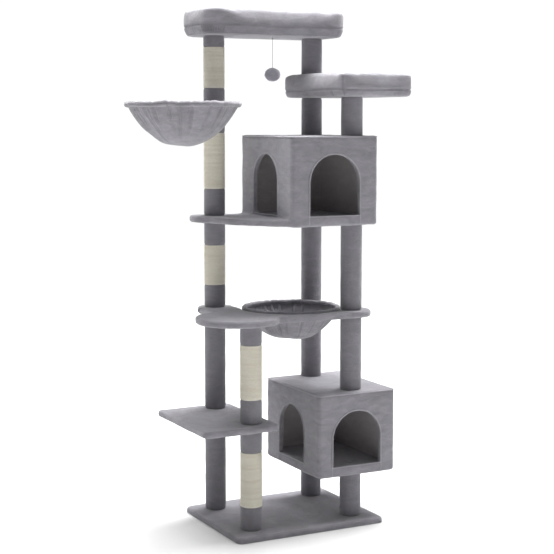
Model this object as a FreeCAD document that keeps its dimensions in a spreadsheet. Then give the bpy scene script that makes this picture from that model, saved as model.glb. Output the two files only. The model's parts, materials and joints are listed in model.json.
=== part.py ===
import FreeCAD, Part
import Sketcher
import math
import os
import re

# A cat tree, in millimetres: +X right, +Y back, +Z up.
# The origin is the centre of the base's underside.

DOC = FreeCAD.newDocument("cat_tree")
SHEET = DOC.addObject("Spreadsheet::Sheet", "Sizes")

SIZES = {
    # boards and their covering
    "board": 16, "plush": 4,
    "base_width": 604, "base_depth": 480, "base_corner": 22, "base_hem": 1,
    "step_left": -421, "step_right": -121, "step_front": -215, "step_back": 229,
    "step_corner": 20, "step_level": 387,
    "lounge_level": 776, "seat_across": -242, "seat_along": -112, "seat_radius": 153,
    "arm_front": -206, "pad_radius": 66, "front_pad_radius": 74,
    # posts, in four columns
    "post_radius": 40, "core_radius": 36, "inside_radius": 31, "plug_thick": 16,
    "left_posts": -204, "right_posts": 212, "front_posts": -140, "back_posts": 168,
    # houses
    "wall": 12, "sill": 10, "floor_back": 212, "house_corner": 13,
    "lower_left": 35, "lower_right": 356, "lower_front": -215, "lower_back": 204,
    "lower_level": 192, "lower_top": 494, "lower_apex": 433,
    "lower_arch": 102, "lower_side_arch": 100,
    "upper_left": -74, "upper_right": 279, "upper_front": -208, "upper_back": 204,
    "upper_level": 1122, "upper_top": 1440, "upper_apex": 1380,
    "upper_arch": 104, "upper_side_arch": 97,
    "lobe_across": 174, "lobe_along": 156, "lobe_radius": 440, "lobe_left": -290,
    "end_radius": 94, "end_back": 236,
    # beds, whose boards sit well inside the padding
    "board_inset": 14,
    "perch_left": 114, "perch_right": 424, "perch_front": -237, "perch_back": 231,
    "perch_level": 1588, "perch_top": 1673, "perch_pad": 36, "perch_rim": 42,
    "perch_corner": 26, "post_gap": 0.5,
    "bed_left": -286, "bed_right": 308, "bed_front": 34, "bed_back": 319,
    "bed_level": 1815, "bed_top": 1912, "bed_pad": 47, "bed_rim": 52, "bed_corner": 66,
    # hoops, their straps and their fabric bowls
    "wire": 4, "casing": 11, "fabric": 4, "slit": 2, "strap_width": 24, "strap": 3,
    "basket_across": -399, "basket_along": 9, "basket_hoop": 199, "basket_level": 1559,
    "basket_depth": 147, "basket_fullness": 0.5,
    "hammock_across": 42, "hammock_along": 14, "hammock_hoop": 176, "hammock_level": 796,
    "hammock_depth": 109, "hammock_fullness": 0.68, "hammock_gap": 4,
    # sisal bands on the left posts, each from a lower to an upper level
    "band_one_low": 885, "band_one_high": 1035,
    "band_two_low": 1247, "band_two_high": 1455,
    "band_three_low": 1621, "band_three_high": 1773,
    "band_four_low": 106, "band_four_high": 306,
    "band_five_low": 500, "band_five_high": 698,
    # fasteners
    "stud_radius": 4, "stud_reach": 20, "head_radius": 9, "head": 5,
    "recess_radius": 10, "recess": 6,
    # hanging toy
    "toy_across": -14, "toy_along": 60, "toy_pivot": 1804, "eye_radius": 4, "eye_wire": 1,
    "eye_gap": 0.5, "knot_radius": 2.5, "string_radius": 0.8, "string_gap": 0.3,
    "ball_level": 1667, "ball_radius": 29,
}
for row, (alias, number) in enumerate(SIZES.items(), start=1):
    SHEET.set("A%d" % row, alias)
    SHEET.set("B%d" % row, str(number))
    SHEET.setAlias("B%d" % row, alias)
DOC.recompute()

SUB_PARTS = []
ROUGH_SIDE = 100  # a sketch's sides before the sheet sets them
UPRIGHT_LEAN = 0.01  # how far off upright an edge may be


def formula(text):
    """An expression in which every plain word is a cell of the sheet."""
    return re.sub(r"[a-z][a-z_]*", lambda word: "Sizes." + word.group(0), text)


def place(item, across, along, up):
    """Put an object at a place given by three expressions."""
    for axis, text in zip("xyz", (across, along, up)):
        item.setExpression("Placement.Base." + axis, formula(text))
    return item


def cylinder(radius, low, high, across, along):
    """An upright cylinder between two levels."""
    item = DOC.addObject("Part::Cylinder", "Cylinder")
    item.setExpression("Radius", formula(radius))
    item.setExpression("Height", formula("(%s) - (%s)" % (high, low)))
    return place(item, across, along, low)


def box(left, right, front, back, low, high):
    item = DOC.addObject("Part::Box", "Box")
    for name, start, end in (("Length", left, right), ("Width", front, back), ("Height", low, high)):
        item.setExpression(name, formula("(%s) - (%s)" % (end, start)))
    return place(item, left, front, low)


def rectangle(body, width, depth):
    """A rectangle sketched on the body's own ground plane, one corner at the origin."""
    sketch = body.newObject("Sketcher::SketchObject", "Outline")
    ground = [item for item in body.Origin.OriginFeatures if item.Role == "XY_Plane"][0]
    sketch.AttachmentSupport = [(ground, "")]
    sketch.MapMode = "FlatFace"
    corners = [FreeCAD.Vector(x, y, 0) for x, y in
               ((0, 0), (ROUGH_SIDE, 0), (ROUGH_SIDE, ROUGH_SIDE), (0, ROUGH_SIDE))]
    for number in range(4):
        side = Part.LineSegment(corners[number], corners[(number + 1) % 4])
        sketch.addGeometry(side, False)
    for number in range(4):
        sketch.addConstraint(Sketcher.Constraint("Coincident", number, 2, (number + 1) % 4, 1))
        sketch.addConstraint(Sketcher.Constraint(("Horizontal", "Vertical")[number % 2], number))
    sketch.addConstraint(Sketcher.Constraint("Coincident", 0, 1, -1, 1))
    across = sketch.addConstraint(Sketcher.Constraint("DistanceX", 0, 1, 0, 2, ROUGH_SIDE))
    along = sketch.addConstraint(Sketcher.Constraint("DistanceY", 1, 1, 1, 2, ROUGH_SIDE))
    sketch.setExpression("Constraints[%d]" % across, formula(width))
    sketch.setExpression("Constraints[%d]" % along, formula(depth))
    return sketch


def is_upright(edge):
    ends = [vertex.Point for vertex in edge.Vertexes]
    return len(ends) == 2 and (ends[0] - ends[1]).cross(FreeCAD.Vector(0, 0, 1)).Length < UPRIGHT_LEAN


def slab(left, right, front, back, low, high, corner):
    """A flat board: a sketched rectangle, padded, with its upright edges rounded."""
    body = DOC.addObject("PartDesign::Body", "Slab")
    sketch = rectangle(body, "(%s) - (%s)" % (right, left), "(%s) - (%s)" % (back, front))
    pad = body.newObject("PartDesign::Pad", "Thickness")
    pad.Profile = sketch
    pad.setExpression("Length", formula("(%s) - (%s)" % (high, low)))
    body.Tip = pad
    body.recompute(True)
    rounded = body.newObject("PartDesign::Fillet", "Corners")
    upright = [number for number, edge in enumerate(pad.Shape.Edges, start=1) if is_upright(edge)]
    rounded.Base = (pad, ["Edge%d" % number for number in upright])
    rounded.setExpression("Radius", formula(corner))
    body.Tip = rounded
    return place(body, left, front, low)


def ring(radius, thickness, across, along, up):
    item = DOC.addObject("Part::Torus", "Ring")
    item.setExpression("Radius1", formula(radius))
    item.setExpression("Radius2", formula(thickness))
    return place(item, across, along, up)


def ball(radius, across, along, up):
    item = DOC.addObject("Part::Sphere", "Ball")
    item.setExpression("Radius", formula(radius))
    return place(item, across, along, up)


def dish(radius, depth, thickness, name):
    """A bowl as hung cloth takes it, turned round the hoop's axis. A fullness of a half is a
    parabola, and more hangs rounder."""
    rim, drop, wall = [getattr(SHEET, alias) for alias in (radius, depth, thickness)]
    fullness = getattr(SHEET, name + "_fullness")
    outer_rim = rim + wall / 2
    inner_rim = rim - wall / 2
    edges = []
    for edge, low in ((outer_rim, -drop), (inner_rim, wall - drop)):
        curve = Part.BezierCurve()
        curve.setPoles([FreeCAD.Vector(0, 0, low), FreeCAD.Vector(edge * fullness, 0, low),
                        FreeCAD.Vector(edge, 0, 0)])
        edges.append(curve.toShape())
    edges.append(Part.makeLine(FreeCAD.Vector(0, 0, -drop), FreeCAD.Vector(0, 0, wall - drop)))
    edges.append(Part.makeLine(FreeCAD.Vector(inner_rim, 0, 0), FreeCAD.Vector(outer_rim, 0, 0)))
    profile = Part.Face(Part.Wire(Part.sortEdges(edges)[0]))
    item = DOC.addObject("Part::Feature", "Dish")
    item.Shape = profile.revolve(FreeCAD.Vector(0, 0, 0), FreeCAD.Vector(0, 0, 1), 360)
    return place(item, name + "_across", name + "_along", name + "_level")


def fuse(*items):
    if len(items) == 1:
        return items[0]
    item = DOC.addObject("Part::MultiFuse", "Fuse")
    item.Shapes = list(items)
    return item


def common(first, second):
    item = DOC.addObject("Part::MultiCommon", "Common")
    item.Shapes = [first, second]
    return item


def cut(base, *tools):
    item = DOC.addObject("Part::Cut", "Cut")
    item.Base = base
    item.Tool = fuse(*tools)
    return item


def group(items):
    """Like pieces that share one node as separate solids."""
    item = DOC.addObject("Part::Compound", "Group")
    item.Links = list(items)
    return item


def sub_part(label, item):
    """Name a finished sub-part, which names its file too."""
    item.Label = label
    SUB_PARTS.append(item)
    return item


COLUMNS = {
    "back_left": ("left_posts", "back_posts"),
    "front_left": ("left_posts", "front_posts"),
    "back_right": ("right_posts", "back_posts"),
    "front_right": ("right_posts", "front_posts"),
}
# Every length of post, by its lower and upper end.
ABOVE = " + board + 2 * plush"
SEGMENTS = {
    "back_left": [
        ("board + plush", "step_level"),
        ("step_level" + ABOVE, "lounge_level"),
        ("lounge_level" + ABOVE, "upper_level"),
        ("upper_level" + ABOVE, "basket_level - strap / 2"),
        ("basket_level + strap / 2", "bed_level"),
    ],
    "front_left": [
        ("board + plush", "step_level"),
        ("step_level" + ABOVE, "lounge_level"),
    ],
    "back_right": [
        ("board + plush", "lower_level"),
        ("lower_top", "hammock_level - strap / 2"),
        ("hammock_level + strap / 2", "upper_level"),
        ("upper_top", "perch_level"),
        ("perch_level + plush + board", "bed_level"),
    ],
    "front_right": [
        ("board + plush", "lower_level"),
        ("lower_top", "lounge_level"),
        ("lounge_level" + ABOVE, "upper_level"),
        ("upper_top", "perch_level"),
    ],
}
# Each sisal band: the column and the length of post that it is wound on.
BANDS = {
    "band_one": ("back_left", 2),
    "band_two": ("back_left", 3),
    "band_three": ("back_left", 4),
    "band_four": ("front_left", 0),
    "band_five": ("front_left", 1),
}


def on_post(column, radius, low, high):
    """A cylinder on a column's axis."""
    return cylinder(radius, low, high, *COLUMNS[column])


def stud_holes(columns, low, high):
    return [on_post(column, "stud_radius", low, high) for column in columns]


def post_tubes():
    """Cardboard tubes, one for each length of post. Twin short lengths share a node."""
    twins = {"lower_level": "posts_under_lower_house", "perch_level": "posts_under_perch"}
    pairs = {name: [] for name in twins.values()}
    for column, lengths in SEGMENTS.items():
        for number, (low, high) in enumerate(lengths, start=1):
            tube = cut(on_post(column, "core_radius", low, high),
                       on_post(column, "inside_radius", low, high))
            if high in twins:
                pairs[twins[high]].append(tube)
            else:
                sub_part("post_%s_%d" % (column, number), tube)
    for name, tubes in pairs.items():
        sub_part(name, group(tubes))


def post_plush():
    """Plush sleeves on the tubes, left off where sisal is wound."""
    for column, lengths in SEGMENTS.items():
        sleeves = []
        for number, (low, high) in enumerate(lengths):
            starts = [low]
            ends = []
            for band, home in BANDS.items():
                if home == (column, number):
                    ends.append(band + "_low")
                    starts.append(band + "_high")
            ends.append(high)
            for start, end in zip(starts, ends):
                sleeves.append(cut(on_post(column, "post_radius", start, end),
                                   on_post(column, "core_radius", start, end)))
        sub_part("plush_%s_posts" % column, group(sleeves))


def sisal_bands():
    """Rope wound close round the tubes, as a sleeve of the rope's thickness."""
    bands = []
    for band, (column, _) in BANDS.items():
        low = band + "_low"
        high = band + "_high"
        bands.append(cut(on_post(column, "post_radius", low, high),
                         on_post(column, "core_radius", low, high)))
    sub_part("sisal_bands", group(bands))


def end_plugs():
    """Discs glued into both ends of every tube, each with a threaded hole."""
    plugs = []
    for column, lengths in SEGMENTS.items():
        for low, high in lengths:
            for start, end in ((low, low + " + plug_thick"), (high + " - plug_thick", high)):
                plugs.append(cut(on_post(column, "inside_radius", start, end),
                                 on_post(column, "stud_radius", start, end)))
    sub_part("end_plugs", group(plugs))


def base():
    side = "base_width / 2"
    depth = "base_depth / 2"
    board = slab("plush - " + side, side + " - plush", "plush - " + depth, depth + " - plush",
                 "0", "board", "base_corner - plush")
    recesses = [on_post(column, "recess_radius", "0", "recess") for column in COLUMNS]
    holes = stud_holes(COLUMNS, "0", "board")
    sub_part("base_board", cut(board, *recesses, *holes))
    outer = slab("0 - " + side, side, "0 - " + depth, depth, "base_hem", "board + plush", "base_corner")
    inner = slab("plush - " + side, side + " - plush", "plush - " + depth, depth + " - plush",
                 "base_hem", "board", "base_corner - plush")
    sub_part("base_cover", cut(outer, inner, *stud_holes(COLUMNS, "board", "board + plush")))


def covered_board(name, outline, level, columns):
    """A board and the plush wrapped all round it, with holes for the studs."""
    core = (level + " + plush", level + " + plush + board")
    whole = (level, level + " + board + 2 * plush")
    sub_part(name, cut(outline("0", *core), *stud_holes(columns, *core)))
    cover = cut(outline("plush", *whole), outline("0", *core), *stud_holes(columns, *whole))
    sub_part(name + "_cover", cover)


def step_outline(grow, low, high):
    inset = "plush - " + grow
    return slab("step_left + " + inset, "step_right - plush + " + grow,
                "step_front + " + inset, "step_back - plush + " + grow,
                low, high, "step_corner - plush + " + grow)


def lounge_outline(grow, low, high):
    """A round seat and two arms that end in pads on the posts, cut back round the hammock."""
    edge = " - plush + " + grow
    seat = cylinder("seat_radius" + edge, low, high, "seat_across", "seat_along")
    back_pad = on_post("back_left", "pad_radius" + edge, low, high)
    front_pad = on_post("front_right", "front_pad_radius" + edge, low, high)
    back_arm = box("left_posts - pad_radius + plush - " + grow, "left_posts + pad_radius" + edge,
                   "seat_along", "back_posts", low, high)
    front_arm = box("left_posts", "right_posts", "arm_front + plush - " + grow,
                    "front_posts + pad_radius" + edge, low, high)
    clear = cylinder("hammock_hoop + casing + hammock_gap + plush - " + grow, low, high,
                     "hammock_across", "hammock_along")
    return cut(fuse(seat, back_pad, front_pad, back_arm, front_arm), clear)


def lower_floor_outline(grow, low, high):
    inset = "plush - " + grow
    return slab("lower_left + " + inset, "lower_right - plush + " + grow,
                "lower_front + " + inset, "floor_back - plush + " + grow,
                low, high, "house_corner - plush + " + grow)


def upper_floor_outline(grow, low, high):
    """A house floor that runs out to the left as a rounded step with a pad on the post."""
    edge = " - plush + " + grow
    inset = " + plush - " + grow
    floor = slab("upper_left" + inset, "upper_right" + edge, "upper_front" + inset,
                 "floor_back" + edge, low, high, "house_corner" + edge)
    curve = cylinder("lobe_radius" + edge, low, high, "lobe_across", "lobe_along")
    field = box("lobe_left", "upper_left + 2 * house_corner", "upper_front" + inset,
                "floor_back" + edge, low, high)
    end = cylinder("end_radius" + edge, low, high, "left_posts", "back_posts")
    strip = box("left_posts - end_radius", "left_posts + end_radius", "front_posts",
                "end_back" + edge, low, high)
    return fuse(floor, common(curve, field), common(end, strip))


def arch_hole(sides, radius, low, apex, front, back):
    """A round-topped doorway through a front wall. sides is the expression for its middle line."""
    doorway = box("%s - %s" % (sides, radius), "%s + %s" % (sides, radius), front, back,
                  low, "%s - %s" % (apex, radius))
    top = DOC.addObject("Part::Cylinder", "ArchTop")
    top.setExpression("Radius", formula(radius))
    top.setExpression("Height", formula("(%s) - (%s)" % (back, front)))
    top.Placement.Rotation = FreeCAD.Rotation(FreeCAD.Vector(1, 0, 0), -90)
    place(top, sides, front, "%s - %s" % (apex, radius))
    return fuse(doorway, top)


def side_arch_hole(sides, radius, low, apex, left, right):
    """The same doorway through a side wall."""
    doorway = box(left, right, "%s - %s" % (sides, radius), "%s + %s" % (sides, radius),
                  low, "%s - %s" % (apex, radius))
    top = DOC.addObject("Part::Cylinder", "ArchTop")
    top.setExpression("Radius", formula(radius))
    top.setExpression("Height", formula("(%s) - (%s)" % (right, left)))
    top.Placement.Rotation = FreeCAD.Rotation(FreeCAD.Vector(0, 1, 0), 90)
    place(top, left, sides, "%s - %s" % (apex, radius))
    return fuse(doorway, top)


def house(name, roof_columns):
    """Five panels on a floor, and the plush that covers them: arches in front and on the left."""
    left, right = name + "_left", name + "_right"
    front, back = name + "_front", name + "_back"
    floor = name + "_level" + ABOVE
    top = name + "_top"
    ceiling = top + " - plush - wall"
    sill = floor + " + sill"
    apex = name + "_apex"
    middle = "(%s + %s) / 2" % (left, right)
    depth = "(%s + %s) / 2" % (front, back)

    def front_arch(start, end):
        return arch_hole(middle, name + "_arch", sill, apex, start, end)

    def left_arch(start, end):
        return side_arch_hole(depth, name + "_side_arch", sill, apex, start, end)

    skin_left, skin_right = left + " + plush", right + " - plush"
    skin_front, skin_back = front + " + plush", back + " - plush"
    front_wall = box(skin_left, skin_right, skin_front, skin_front + " + wall", floor, ceiling)
    sub_part(name + "_house_front", cut(front_wall, front_arch(front, front + " + plush + wall")))
    back_wall = box(skin_left, skin_right, skin_back + " - wall", skin_back, floor, ceiling)
    sub_part(name + "_house_back", back_wall)
    between = (skin_front + " + wall", skin_back + " - wall", floor, ceiling)
    left_wall = box(skin_left, skin_left + " + wall", *between)
    sub_part(name + "_house_left", cut(left_wall, left_arch(left, left + " + plush + wall")))
    sub_part(name + "_house_right", box(skin_right + " - wall", skin_right, *between))
    roof = box(skin_left, skin_right, skin_front, skin_back, ceiling, top + " - plush")
    roof_holes = stud_holes(roof_columns, ceiling, top + " - plush")
    sub_part(name + "_house_roof", cut(roof, *roof_holes))
    outer = slab(left, right, front, back, floor, top, "house_corner")
    inner = box(skin_left, skin_right, skin_front, skin_back, floor, top + " - plush")
    cover = cut(outer, inner, front_arch(front, skin_front), left_arch(left, skin_left),
                *stud_holes(roof_columns, top + " - plush", top))
    sub_part(name + "_house_cover", cover)


def bed(name, pad_columns, passing=()):
    """A board in a padded cushion whose rim stands up round a sunken pad."""
    left, right = name + "_left", name + "_right"
    front, back = name + "_front", name + "_back"
    level, top = name + "_level", name + "_top"
    corner = name + "_corner"
    core = (level + " + plush", level + " + plush + board")

    def inset(amount, low, high):
        return slab("%s + %s" % (left, amount), "%s - %s" % (right, amount),
                    "%s + %s" % (front, amount), "%s - %s" % (back, amount),
                    low, high, "%s - %s / 2" % (corner, amount))

    board = cut(inset("board_inset", *core), *stud_holes(pad_columns, *core))
    sub_part(name + "_board", board)
    shell = inset("0", level, top)
    hollow = inset(name + "_rim", "%s - %s" % (top, name + "_pad"), top)
    holes = stud_holes(pad_columns, level, level + " + plush")
    posts = [on_post(column, "post_radius + post_gap", core[1], top) for column in passing]
    cushion = cut(shell, inset("board_inset", *core), hollow, *holes, *posts)
    sub_part(name + "_cushion", cushion)


def strap_bar(column, name):
    """A flat bar from a post's axis to the hoop, pointing at the middle of the hoop."""
    post = FreeCAD.Vector(*[getattr(SHEET, alias) for alias in COLUMNS[column]], 0)
    middle = FreeCAD.Vector(getattr(SHEET, name + "_across"), getattr(SHEET, name + "_along"), 0)
    reach = middle - post
    turn = math.degrees(math.atan2(reach.y, reach.x))
    item = DOC.addObject("Part::Box", "Strap")
    item.Length = reach.Length - getattr(SHEET, name + "_hoop")
    item.setExpression("Width", formula("strap_width"))
    item.setExpression("Height", formula("strap"))
    rotation = FreeCAD.Rotation(FreeCAD.Vector(0, 0, 1), turn)
    corner = post + rotation.multVec(FreeCAD.Vector(0, -SHEET.strap_width / 2, 0))
    corner.z = getattr(SHEET, name + "_level") - SHEET.strap / 2
    item.Placement = FreeCAD.Placement(corner, rotation)
    return item


def hooped_bowl(name, column):
    """A steel hoop on a strap that is clamped in a post's joint, and the bowl hung on the hoop."""
    centre = (name + "_across", name + "_along", name + "_level")
    hoop = name + "_hoop"
    level = name + "_level"

    def wire():
        return ring(hoop, "wire", *centre)

    sub_part(name + "_hoop", wire())
    disc_levels = (level + " - strap / 2", level + " + strap / 2")
    disc = on_post(column, "core_radius", *disc_levels)
    hole = on_post(column, "stud_radius", *disc_levels)
    sub_part(name + "_strap", cut(fuse(disc, strap_bar(column, name)), wire(), hole))
    casing = ring(hoop, "casing", *centre)
    bowl = dish(hoop, name + "_depth", "fabric", name)
    slit = cut(cylinder(hoop + " + slit / 2", level, level + " + casing", *centre[:2]),
               cylinder(hoop + " - slit / 2", level, level + " + casing", *centre[:2]))
    fabric = cut(fuse(casing, bowl), wire(), slit, strap_bar(column, name))
    sub_part(name + "_fabric", fabric)


def toy():
    """A pom-pom on a string, knotted below a screw eye under the highest bed."""
    axis = ("toy_across", "toy_along")
    eye_level = "toy_pivot + knot_radius + eye_gap + eye_radius + eye_wire"
    eye = DOC.addObject("Part::Torus", "Eye")
    eye.setExpression("Radius1", formula("eye_radius"))
    eye.setExpression("Radius2", formula("eye_wire"))
    eye.Placement.Rotation = FreeCAD.Rotation(FreeCAD.Vector(1, 0, 0), 90)
    place(eye, *axis, eye_level)
    shank = cylinder("eye_wire", eye_level + " + eye_radius", "bed_level + plush", *axis)
    sub_part("toy_eye", fuse(eye, shank))
    sub_part("toy_knot", ball("knot_radius", *axis, "toy_pivot"))
    string = cylinder("string_radius", "ball_level + ball_radius - eye_wire",
                      "toy_pivot - knot_radius - string_gap", *axis)
    pompom = ball("ball_radius", *axis, "ball_level")
    sub_part("toy_string", cut(string, ball("ball_radius", *axis, "ball_level")))
    sub_part("toy_pompom", pompom)


def fasteners():
    """Bolts up through the base, studs through the boards and bolts inside the houses."""
    bolts = []
    for column in COLUMNS:
        head = on_post(column, "head_radius", "recess - head", "recess")
        shank = on_post(column, "stud_radius", "recess", "board + plush + stud_reach")
        bolts.append(fuse(head, shank))
    sub_part("base_bolts", group(bolts))
    through = [
        ("back_left", "step_level", "step_level" + ABOVE),
        ("front_left", "step_level", "step_level" + ABOVE),
        ("back_left", "lounge_level", "lounge_level" + ABOVE),
        ("front_right", "lounge_level", "lounge_level" + ABOVE),
        ("back_left", "upper_level", "upper_level" + ABOVE),
        ("back_left", "basket_level", "basket_level"),
        ("back_right", "hammock_level", "hammock_level"),
        ("back_right", "perch_level", "perch_level + plush + board"),
    ]
    studs = [on_post(column, "stud_radius", low + " - stud_reach", high + " + stud_reach")
             for column, low, high in through]
    ends = [
        ("front_left", "lounge_level"), ("front_right", "perch_level"),
        ("back_left", "bed_level"), ("back_right", "bed_level"),
    ]
    for column, level in ends:
        studs.append(on_post(column, "stud_radius", level + " - stud_reach", level + " + plush + board"))
    sub_part("joint_studs", group(studs))
    bolts = []
    for name in ("lower", "upper"):
        floor = name + "_level"
        roof = name + "_top"
        ceiling = roof + " - plush - wall"
        for column in ("back_right", "front_right"):
            bolts.append(fuse(
                on_post(column, "stud_radius", floor + " - stud_reach", floor + ABOVE),
                on_post(column, "head_radius", floor + ABOVE, floor + ABOVE + " + head")))
            bolts.append(fuse(
                on_post(column, "stud_radius", ceiling, roof + " + stud_reach"),
                on_post(column, "head_radius", ceiling + " - head", ceiling)))
    sub_part("house_bolts", group(bolts))


base()
covered_board("step_board", step_outline, "step_level", ["back_left", "front_left"])
covered_board("lounge_board", lounge_outline, "lounge_level",
              ["back_left", "front_left", "front_right"])
covered_board("lower_house_floor", lower_floor_outline, "lower_level",
              ["back_right", "front_right"])
covered_board("upper_house_floor", upper_floor_outline, "upper_level",
              ["back_left", "back_right", "front_right"])
house("lower", ["back_right", "front_right"])
house("upper", ["back_right", "front_right"])
bed("perch", ["back_right", "front_right"], passing=["back_right"])
bed("bed", ["back_left", "back_right"])
post_tubes()
post_plush()
sisal_bands()
end_plugs()
hooped_bowl("basket", "back_left")
hooped_bowl("hammock", "back_right")
toy()
fasteners()
DOC.recompute()

for item in DOC.Objects:
    if "Invalid" in item.State or "Error" in item.State:
        raise RuntimeError("failed object: " + item.Label)
os.makedirs("parts", exist_ok=True)
for item in SUB_PARTS:
    if item.Shape.isNull() or not item.Shape.isValid():
        raise RuntimeError("bad shape: " + item.Label)
    item.Shape.exportStep("parts/%s.step" % item.Label)
    print("%-28s %2d solids %10.0f mm3" % (item.Label, len(item.Shape.Solids), item.Shape.Volume))
print(len(SUB_PARTS), "sub-parts")
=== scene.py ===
import json
import math
import random

import bpy
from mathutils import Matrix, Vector, noise


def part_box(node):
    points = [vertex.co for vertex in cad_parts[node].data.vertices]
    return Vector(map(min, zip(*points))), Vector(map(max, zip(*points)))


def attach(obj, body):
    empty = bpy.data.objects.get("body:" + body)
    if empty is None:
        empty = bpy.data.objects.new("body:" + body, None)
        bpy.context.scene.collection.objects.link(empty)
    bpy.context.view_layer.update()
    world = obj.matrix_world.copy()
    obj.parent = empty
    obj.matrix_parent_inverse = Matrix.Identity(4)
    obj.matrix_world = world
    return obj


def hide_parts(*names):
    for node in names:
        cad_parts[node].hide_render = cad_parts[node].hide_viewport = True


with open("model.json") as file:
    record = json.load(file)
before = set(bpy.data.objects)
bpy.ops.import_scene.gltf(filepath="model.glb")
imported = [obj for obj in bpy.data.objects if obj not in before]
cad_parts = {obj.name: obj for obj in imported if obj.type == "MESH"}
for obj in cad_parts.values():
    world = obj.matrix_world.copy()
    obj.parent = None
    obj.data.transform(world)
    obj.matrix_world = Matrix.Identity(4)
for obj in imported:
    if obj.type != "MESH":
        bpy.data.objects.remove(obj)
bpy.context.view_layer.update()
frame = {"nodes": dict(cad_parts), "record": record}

# A cat tree, in metres: +X right, +Y back, +Z up, with the origin under the middle of the base.

GAP = 0.0003                          # air between plush and a board it doesn't replace
WALL, LINING = 0.016, 0.0025          # a house wall with its plush, and the plush inside it
PROUD_LOW = (0.001, 0.003, 0.003)     # how far a house's skin stands out, at its low corner
PROUD_HIGH = (0.005, 0.002, 0.006)    # and at its high corner
DOOR_REACH_OUT, DOOR_REACH_IN = 0.03, 0.06
POST_RADIUS = 0.040
ROPE_RADIUS, ROPE_PITCH = 0.0026, 0.0048
ROPE_MIDDLE = POST_RADIUS - 0.0022    # radius of the rope's own middle line
CASING, CASING_VISIBLE = 0.011, 0.0098
HAMMOCK_GAP = 0.004
SHRINK = 0.002                        # a bed starts this much small, and is then filled
BED_GRAIN = 0.006
CREASE_DEPTH, CREASE_WIDTH = 0.0042, 0.0030
FOLD_DEPTH = 0.0020
POSTS = {"back_left": (-0.204, 0.168), "front_left": (-0.204, -0.140),
         "back_right": (0.212, 0.168), "front_right": (0.212, -0.140)}
SLEEVES = {
    "back_left": [(0.020, 0.387), (0.411, 0.776), (0.800, 0.885), (1.035, 1.122), (1.146, 1.247),
                  (1.455, 1.5575), (1.5605, 1.621), (1.773, 1.815)],
    "front_left": [(0.020, 0.106), (0.306, 0.387), (0.411, 0.500), (0.698, 0.776)],
    "back_right": [(0.020, 0.192), (0.494, 0.7945), (0.7975, 1.122), (1.440, 1.588),
                   (1.608, 1.815)],
    "front_right": [(0.020, 0.192), (0.494, 0.776), (0.800, 1.122), (1.440, 1.588)],
}
ROPE_BANDS = [("back_left", 0.885, 1.035), ("back_left", 1.247, 1.455), ("back_left", 1.621, 1.773),
              ("front_left", 0.106, 0.306), ("front_left", 0.500, 0.698)]


# ---------------------------------------------------------------- hands: selecting and shaping


def use(piece):
    """Make one piece the only one selected."""
    bpy.ops.object.select_all(action="DESELECT")
    piece.select_set(True)
    bpy.context.view_layer.objects.active = piece


def new_piece(name, add, **settings):
    """Add a primitive and name it."""
    bpy.ops.object.select_all(action="DESELECT")
    add(**settings)
    piece = bpy.context.active_object
    piece.name = name
    piece.data.name = name
    return piece


def settle(piece):
    """Put the piece's place, turn and size into its mesh."""
    use(piece)
    bpy.ops.object.transform_apply(location=True, rotation=True, scale=True)
    return piece


def block(name, low, high):
    """A block between two corners."""
    low, high = Vector(low), Vector(high)
    piece = new_piece(name, bpy.ops.mesh.primitive_cube_add, size=1, location=(low + high) / 2)
    piece.scale = high - low
    return settle(piece)


def round_block(name, centre, radius, low, high, sides=96):
    """An upright round block between two levels."""
    place = (centre[0], centre[1], (low + high) / 2)
    piece = new_piece(name, bpy.ops.mesh.primitive_cylinder_add, vertices=sides, radius=radius,
                      depth=high - low, location=place)
    return settle(piece)


def pick(piece, kind, wanted):
    """Select the faces, edges or vertices that a test wants, and go to edit mode."""
    use(piece)
    mesh = piece.data
    for part in (*mesh.vertices, *mesh.edges, *mesh.polygons):
        part.select = False
    if kind == "FACE":
        for face in mesh.polygons:
            face.select = bool(wanted(face.center, face.normal))
    elif kind == "EDGE":
        for edge in mesh.edges:
            edge.select = bool(wanted(*(mesh.vertices[i].co for i in edge.vertices)))
    else:
        for vertex in mesh.vertices:
            vertex.select = bool(wanted(vertex.co))
    bpy.context.tool_settings.mesh_select_mode = (kind == "VERT", kind == "EDGE", kind == "FACE")
    bpy.ops.object.mode_set(mode="EDIT")


def put_down():
    bpy.ops.object.mode_set(mode="OBJECT")


def upright(a, b):
    return abs(a.z - b.z) > 1e-4 and (a - b).xy.length < 1e-5


def level(a, b):
    return abs(a.z - b.z) < 1e-5


def apply_modifier(piece, kind, **settings):
    """Add a modifier, set it and apply it."""
    use(piece)
    modifier = piece.modifiers.new(kind.lower(), kind)
    for name, value in settings.items():
        setattr(modifier, name, value)
    bpy.ops.object.modifier_apply(modifier=modifier.name)
    return piece


def carve(piece, tool, operation="DIFFERENCE"):
    """Cut a tool out of a piece, or add it, and clear the tool away."""
    apply_modifier(piece, "BOOLEAN", object=tool, operation=operation, solver="EXACT")
    bpy.data.objects.remove(tool, do_unlink=True)
    return piece


def round_corners(piece, corner, segments=8):
    pick(piece, "EDGE", upright)
    bpy.ops.mesh.bevel(offset=corner, segments=segments, affect="EDGES", clamp_overlap=True)
    put_down()
    return piece


def roll_edges(piece, roll, segments=4):
    """Round every sharp edge, as plush does over a board."""
    return apply_modifier(piece, "BEVEL", width=roll, segments=segments, limit_method="ANGLE",
                          angle_limit=math.radians(40), use_clamp_overlap=False)


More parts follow.
